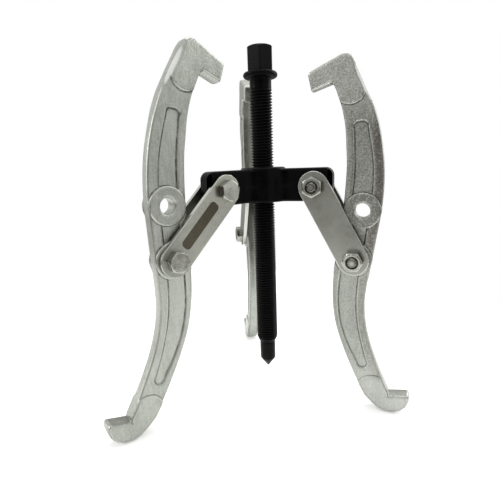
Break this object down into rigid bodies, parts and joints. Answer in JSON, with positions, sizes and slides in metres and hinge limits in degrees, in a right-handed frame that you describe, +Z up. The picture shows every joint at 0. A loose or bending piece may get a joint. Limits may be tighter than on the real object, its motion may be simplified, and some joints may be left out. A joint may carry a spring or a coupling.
{
  "type": "gear puller",
  "caption": "Reversible gear puller: hinged double-hook jaws on paired links around a forged yoke, with a hexagon-drive threaded spindle ending in a centre point.",
  "frame": {"origin": "tip of the centre point, on the spindle axis", "axes": "+Z up the spindle axis to the drive hexagon; jaw C lies along +Y, jaws A and B at 210 and 330 degrees from +X about +Z"},
  "size_m": [0.2663, 0.2258, 0.325],
  "materials": {
    "black_steel": "black oxide, oiled",
    "point_steel": "hardened dark steel",
    "black_forging": "glossy black over forged skin",
    "plated_forging": "satin nickel plate over forged skin",
    "plated_plate": "satin zinc plate",
    "fastener": "zinc plate",
    "sleeve_steel": "turned steel"
  },
  "bodies": {
    "yoke": {"yoke": "black_forging"},
    "centre_point": {"centre_point": "point_steel"},
    "spindle": {"spindle": "black_steel"},
    "links_a": {"link_a_head_side": "plated_plate", "link_a_nut_side": "plated_plate", "yoke_bolt_a": "fastener", "yoke_nut_a": "fastener", "yoke_sleeve_a": "sleeve_steel", "jaw_bolt_a": "fastener", "jaw_nut_a": "fastener", "jaw_sleeve_a": "sleeve_steel"},
    "jaw_a": {"jaw_a": "plated_forging"},
    "links_b": {"link_b_head_side": "plated_plate", "link_b_nut_side": "plated_plate", "yoke_bolt_b": "fastener", "yoke_nut_b": "fastener", "yoke_sleeve_b": "sleeve_steel", "jaw_bolt_b": "fastener", "jaw_nut_b": "fastener", "jaw_sleeve_b": "sleeve_steel"},
    "jaw_b": {"jaw_b": "plated_forging"},
    "links_c": {"link_c_head_side": "plated_plate", "link_c_nut_side": "plated_plate", "yoke_bolt_c": "fastener", "yoke_nut_c": "fastener", "yoke_sleeve_c": "sleeve_steel", "jaw_bolt_c": "fastener", "jaw_nut_c": "fastener", "jaw_sleeve_c": "sleeve_steel"},
    "jaw_c": {"jaw_c": "plated_forging"}
  },
  "joints": [
    {"name": "spindle_travel", "type": "slide", "parent": "yoke", "child": "centre_point", "axis": [0, 0, 1], "range_m": [-0.06, 0.13]},
    {"name": "spindle_turn", "type": "hinge", "parent": "centre_point", "child": "spindle", "pos_m": [0, 0, 0], "axis": [0, 0, 1], "range_deg": [-8640, 18720]},
    {"name": "link_swing_a", "type": "hinge", "parent": "yoke", "child": "links_a", "pos_m": [-0.04209, -0.0243, 0.1811], "axis": [-0.5, 0.866, 0], "range_deg": [-32, 14]},
    {"name": "jaw_swing_a", "type": "hinge", "parent": "links_a", "child": "jaw_a", "pos_m": [-0.0866, -0.04999, 0.13024], "axis": [0.5, -0.866, 0], "range_deg": [-9, 45]},
    {"name": "link_swing_b", "type": "hinge", "parent": "yoke", "child": "links_b", "pos_m": [0.04209, -0.0243, 0.1811], "axis": [-0.5, -0.866, 0], "range_deg": [-19, 16]},
    {"name": "jaw_swing_b", "type": "hinge", "parent": "links_b", "child": "jaw_b", "pos_m": [0.07206, -0.04161, 0.11762], "axis": [0.5, 0.866, 0], "range_deg": [-6.5, 32]},
    {"name": "link_swing_c", "type": "hinge", "parent": "yoke", "child": "links_c", "pos_m": [0, 0.0486, 0.1811], "axis": [1, 0, 0], "range_deg": [-21, 19]},
    {"name": "jaw_swing_c", "type": "hinge", "parent": "links_c", "child": "jaw_c", "pos_m": [0, 0.08913, 0.12123], "axis": [-1, 0, 0], "range_deg": [-13, 33]}
  ],
  "couplings": [
    {"joint": "spindle_turn", "follows": "spindle_travel", "rad_per_m": 2513.3}
  ]
}
